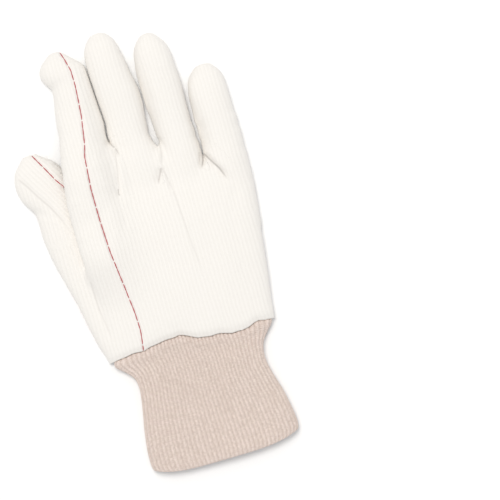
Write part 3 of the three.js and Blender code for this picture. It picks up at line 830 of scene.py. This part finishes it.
def make_cuff():
    """One closed body: down the outside from the tucked end, round the folded end and up the inside."""
    down = [*np.arange(CUFF_TOP, FINE_END, -FINE_STEP), *np.arange(FINE_END - 0.5, 1.4, -CUFF_STEP)]
    fold = np.linspace(0, np.pi, 9)
    course = [(y, 0.0) for y in down]
    course += [(FOLD_DEPTH * (1 - math.sin(a)), KNIT_WALL * (1 - math.cos(a)) / 2) for a in fold]
    course += [(y, KNIT_WALL) for y in np.arange(3, CUFF_TOP + 0.1, INNER_STEP)]
    bm = bmesh.new()
    around = RIBS * RIB_POINTS
    bmesh.ops.create_grid(bm, x_segments=around, y_segments=len(course), size=1.0)
    uv = bm.loops.layers.uv.new("knit")
    walked = 0.0
    loops = []
    for i, (y, inset) in enumerate(course):
        if i:
            walked += math.hypot(y - course[i - 1][0], inset - course[i - 1][1])
        loops.append((*cuff_loop(y, inset), y, inset, walked))
    loops.append(loops[0])
    spot = {v: (round((v.co.x + 1) / 2 * around), round((v.co.y + 1) / 2 * len(course))) for v in bm.verts}
    for v, (i, j) in spot.items():
        x, z, out_x, out_z, middle, half, y, inset, _ = loops[j]
        phase = math.pi * i / RIB_POINTS
        inner = inset > KNIT_WALL / 2
        depth = RIB_DEPTH * (1 - abs(math.sin(phase)) ** 0.7) * (-0.4 if inner else 1.0)
        bow = END_BOW * abs((x[i] - middle) / half) ** 4 * (1 - float(smooth(0, 24, y)))
        drift = 0.14 * math.sin(y / 6.5 + i / 37) * math.sin(y / 3.1 + i / 90)
        wave = 0.35 * math.sin(x[i] / 7 + y / 19) + 0.25 * math.sin(y / 9 + x[i] / 13)
        wave *= float(smooth(2, 8, z[i]))
        past_hem = y - HEM_Y - float(hem_rise(x[i]))
        puff = 1.3 * math.exp(-(((past_hem + 3.2) / 2.6) ** 2))
        puff += 0.4 * math.exp(-(((past_hem + 0.5) / 1.0) ** 2))
        puff -= 1.8 * float(smooth(-0.3, 0.7, past_hem))
        wave = wave * (1 - float(smooth(60, 68, y))) + puff * float(smooth(5, 8, z[i]))
        height = max(z[i] - out_z[i] * depth + wave, column(CUFF, 5, y))
        v.co = at(x[i] - out_x[i] * depth + drift * abs(out_z[i]), y + bow, height)
    for face in bm.faces:
        for loop in face.loops:
            i, j = spot[loop.vert]
            walked = loops[j][-1] if j < len(course) else loops[-2][-1] + KNIT_WALL
            loop[uv].uv = (i / RIB_POINTS, walked)
    bmesh.ops.remove_doubles(bm, verts=bm.verts, dist=1e-6)
    bmesh.ops.recalc_face_normals(bm, faces=bm.faces)
    mesh = bpy.data.meshes.new("knit_cuff_cloth")
    bm.to_mesh(mesh)
    bm.free()
    return new_object("knit_cuff_cloth", mesh)


# Finishes


class Nodes:
    """A material's nodes, added and joined by name."""

    def __init__(self, name):
        self.material = bpy.data.materials.new(name)
        self.material.use_nodes = True
        self.tree = self.material.node_tree
        self.shader = self.tree.nodes["Principled BSDF"]

    def add(self, kind, **values):
        node = self.tree.nodes.new(kind)
        for key, value in values.items():
            setattr(node, key, value)
        return node

    def join(self, source, target):
        self.tree.links.new(source, target)

    def math(self, operation, first, second=0.0, third=0.0):
        node = self.add("ShaderNodeMath", operation=operation)
        for socket, value in zip(node.inputs, (first, second, third)):
            if isinstance(value, (int, float)):
                socket.default_value = value
            else:
                self.join(value, socket)
        return node.outputs[0]

    def number(self, name):
        return self.add("ShaderNodeAttribute", attribute_name=name).outputs["Fac"]

    def noise(self, vector, scale, detail=2.0):
        node = self.add("ShaderNodeTexNoise")
        node.inputs["Scale"].default_value = scale
        node.inputs["Detail"].default_value = detail
        self.join(vector, node.inputs["Vector"])
        return node.outputs["Fac"]

    def blend(self, share, low, high):
        node = self.add("ShaderNodeMix", data_type="RGBA")
        self.join(share, node.inputs["Factor"])
        for socket, colour in ((node.inputs["A"], low), (node.inputs["B"], high)):
            if isinstance(colour, tuple):
                socket.default_value = (*colour, 1)
            else:
                self.join(colour, socket)
        return node.outputs["Result"]

    def bump(self, height, distance, under=None):
        node = self.add("ShaderNodeBump")
        node.inputs["Distance"].default_value = distance * MM
        self.join(height, node.inputs["Height"])
        if under is not None:
            self.join(under, node.inputs["Normal"])
        return node.outputs["Normal"]


CORD_PITCH = 2.4
LOOP_LENGTH = 1.25


def corded_cotton():
    """Off-white cotton with fine cords, a soft nap, and dips along its seams, with painted shade between the
    cords and in the folds.
    """
    n = Nodes("corded_cotton")
    place = n.add("ShaderNodeTexCoord").outputs["Object"]
    wander = n.math("MULTIPLY", n.noise(place, 60.0, 1.0), 1.6)
    turn = 2 * math.pi / CORD_PITCH
    flat_cords = n.math("SINE", n.math("MULTIPLY", n.math("ADD", n.number("across"), wander), turn))
    cords = n.math("MULTIPLY", flat_cords, n.number("corded"))
    cord_height = n.math("MULTIPLY_ADD", cords, 0.5, 0.5)
    nap = n.noise(place, 1500.0, 4.0)
    fluff = n.noise(place, 500.0, 3.0)
    seam_dip = n.math("SMOOTH_MIN", n.math("DIVIDE", n.number("seam"), 1.1), 1.0, 0.3)
    normal = n.bump(n.math("POWER", cord_height, 0.8), 0.15)
    normal = n.bump(nap, 0.10, normal)
    normal = n.bump(fluff, 0.12, normal)
    normal = n.bump(seam_dip, 0.3, normal)
    n.join(normal, n.shader.inputs["Normal"])
    lit, shade = (0.905, 0.874, 0.832), (0.83, 0.795, 0.75)
    # Painted shade between the cords: the colour goes from lit to shade in the cord valleys, with random tone
    # from the fluff noise.
    cord_shade_and_fluff_tone = n.math("MULTIPLY_ADD", n.math("SUBTRACT", 1.0, cord_height), 0.34, n.math("MULTIPLY", fluff, 0.3))
    colour = n.blend(cord_shade_and_fluff_tone, lit, shade)
    # Painted shade in the creases: near each fold line the colour is darkened towards a grey-beige, as
    # strongly as mark_folds stored for it.
    width = n.math("DIVIDE", n.number("fold"), 0.6)
    fading = n.math("EXPONENT", n.math("MULTIPLY", n.math("MULTIPLY", width, width), -1.0))
    painted_fold_shade = n.math("MULTIPLY", fading, n.number("fold_shade"))
    colour = n.blend(n.math("MULTIPLY", painted_fold_shade, 0.46), colour, (0.40, 0.37, 0.345))
    n.join(colour, n.shader.inputs["Base Color"])
    n.shader.inputs["Roughness"].default_value = 0.95
    n.shader.inputs["Specular IOR Level"].default_value = 0.2
    n.shader.inputs["Sheen Weight"].default_value = 0.15
    n.shader.inputs["Sheen Roughness"].default_value = 0.6
    return n.material


def rib_knit():
    """Beige rib knit: small slanted loops in pairs along each rib, with painted shade between the ribs and
    between the loops.
    """
    n = Nodes("rib_knit")
    pattern = n.add("ShaderNodeUVMap", uv_map="knit")
    parts = n.add("ShaderNodeSeparateXYZ")
    n.join(pattern.outputs["UV"], parts.inputs[0])
    place = n.add("ShaderNodeTexCoord").outputs["Object"]
    rib = n.math("FRACT", parts.outputs["X"])
    from_middle = n.math("ABSOLUTE", n.math("SUBTRACT", rib, 0.5))
    slant = n.math("MULTIPLY_ADD", from_middle, 1.6, n.math("DIVIDE", parts.outputs["Y"], LOOP_LENGTH))
    loops = n.math("SINE", n.math("MULTIPLY", slant, 2 * math.pi))
    loop_height = n.math("MULTIPLY_ADD", loops, 0.5, 0.5)
    valley = n.math("MULTIPLY", from_middle, 2.0)
    fuzz = n.noise(place, 1400.0, 4.0)
    blotch = n.noise(place, 160.0, 4.0)
    stitch = n.add("ShaderNodeCombineXYZ")
    n.join(n.math("FLOOR", n.math("MULTIPLY", parts.outputs["X"], 2.0)), stitch.inputs[0])
    n.join(n.math("FLOOR", slant), stitch.inputs[1])
    heather = n.add("ShaderNodeTexWhiteNoise", noise_dimensions="2D")
    n.join(stitch.outputs[0], heather.inputs["Vector"])
    normal = n.bump(loop_height, 0.2)
    normal = n.bump(fuzz, 0.12, normal)
    n.join(normal, n.shader.inputs["Normal"])
    # Painted shade: the colour is darker towards the sides of each rib, where the knit dips between ribs, and
    # darker again in the gaps between the loops.
    colour = n.blend(n.math("POWER", valley, 1.8), (0.93, 0.795, 0.74), (0.765, 0.64, 0.585))
    loop_gap_shade_strength = n.math("MULTIPLY_ADD", valley, 0.3, 0.15)
    loop_gap_shade = n.math("MULTIPLY", n.math("SUBTRACT", 1.0, loop_height), loop_gap_shade_strength)
    colour = n.blend(loop_gap_shade, colour, (0.45, 0.34, 0.28))
    colour = n.blend(n.math("MULTIPLY", heather.outputs["Value"], 0.5), colour, (0.60, 0.48, 0.42))
    colour = n.blend(n.math("MULTIPLY", n.noise(place, 700.0, 2.0), 0.3), colour, (0.90, 0.80, 0.73))
    colour = n.blend(n.math("MULTIPLY", blotch, 0.2), colour, (0.86, 0.75, 0.62))
    specks = n.math("MULTIPLY_ADD", n.noise(place, 1000.0, 2.0), 1.4, -0.55)
    colour = n.blend(n.math("MAXIMUM", specks, 0.0), colour, (0.52, 0.40, 0.34))
    n.join(colour, n.shader.inputs["Base Color"])
    n.shader.inputs["Roughness"].default_value = 0.92
    n.shader.inputs["Specular IOR Level"].default_value = 0.2
    n.shader.inputs["Sheen Weight"].default_value = 0.2
    n.shader.inputs["Sheen Roughness"].default_value = 0.5
    return n.material


def red_thread():
    """Twisted red sewing thread."""
    n = Nodes("red_thread")
    place = n.add("ShaderNodeTexCoord").outputs["Object"]
    strands = n.add("ShaderNodeTexWave", bands_direction="DIAGONAL")
    strands.inputs["Scale"].default_value = 900.0
    n.join(place, strands.inputs["Vector"])
    n.join(n.bump(strands.outputs["Fac"], 0.08), n.shader.inputs["Normal"])
    colour = n.blend(n.noise(place, 300.0), (0.44, 0.06, 0.075), (0.58, 0.14, 0.155))
    n.join(colour, n.shader.inputs["Base Color"])
    n.shader.inputs["Roughness"].default_value = 0.7
    n.shader.inputs["Specular IOR Level"].default_value = 0.3
    return n.material


def dress(obj, material, slot, *nodes):
    """Gives a finished piece its material, hangs it under the root, and hides the parts of the model that it
    stands for.
    """
    obj.data.materials.clear()
    obj.data.materials.append(material)
    for face in obj.data.polygons:
        face.use_smooth = True
        face.material_index = 0
    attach(obj, "root")
    if nodes:
        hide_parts(*nodes)


cloth = make_cloth()
stitches = make_stitches(cloth)
cuff = make_cuff()
hand_nodes = [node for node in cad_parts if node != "knit_cuff"]
dress(cloth, corded_cotton(), "cotton", *hand_nodes)
dress(stitches, red_thread(), "cotton")
dress(cuff, rib_knit(), "knit", "knit_cuff")

# Floor
bpy.ops.mesh.primitive_plane_add(size=6)
floor = bpy.context.object
floor.name = "floor"
floor.location.z = -0.0003
paper = bpy.data.materials.new("floor")
paper.use_nodes = True
paper.node_tree.nodes["Principled BSDF"].inputs["Base Color"].default_value = (0.95, 0.95, 0.95, 1)
floor.data.materials.append(paper)

# Camera, straight above
VIEW_MIDDLE = (54.1, 117.8)
VIEW_WIDTH = 303.5
VIEW_TURN = math.radians(16.4)
camera = bpy.data.cameras.new("camera")
camera.lens = 400
camera.sensor_width = 36
view = bpy.data.objects.new("camera", camera)
bpy.context.scene.collection.objects.link(view)
view.location = at(*VIEW_MIDDLE, 10 + VIEW_WIDTH * 400 / 36)
view.rotation_euler = (0, 0, -VIEW_TURN)
bpy.context.scene.camera = view

# Light
world = bpy.context.scene.world or bpy.data.worlds.new("world")
bpy.context.scene.world = world
world.use_nodes = True
world.node_tree.nodes["Background"].inputs["Color"].default_value = (0.97, 0.985, 1.0, 1)
world.node_tree.nodes["Background"].inputs["Strength"].default_value = 0.7
sun = bpy.data.lights.new("sun", "SUN")
sun.energy = 1.42
sun.angle = math.radians(24)
sun.color = (1.0, 0.972, 0.93)
lamp = bpy.data.objects.new("sun", sun)
bpy.context.scene.collection.objects.link(lamp)
lamp.rotation_euler = Vector((0.073, -0.282, -0.957)).to_track_quat("-Z", "Y").to_euler()
bpy.context.scene.view_settings.view_transform = "Standard"
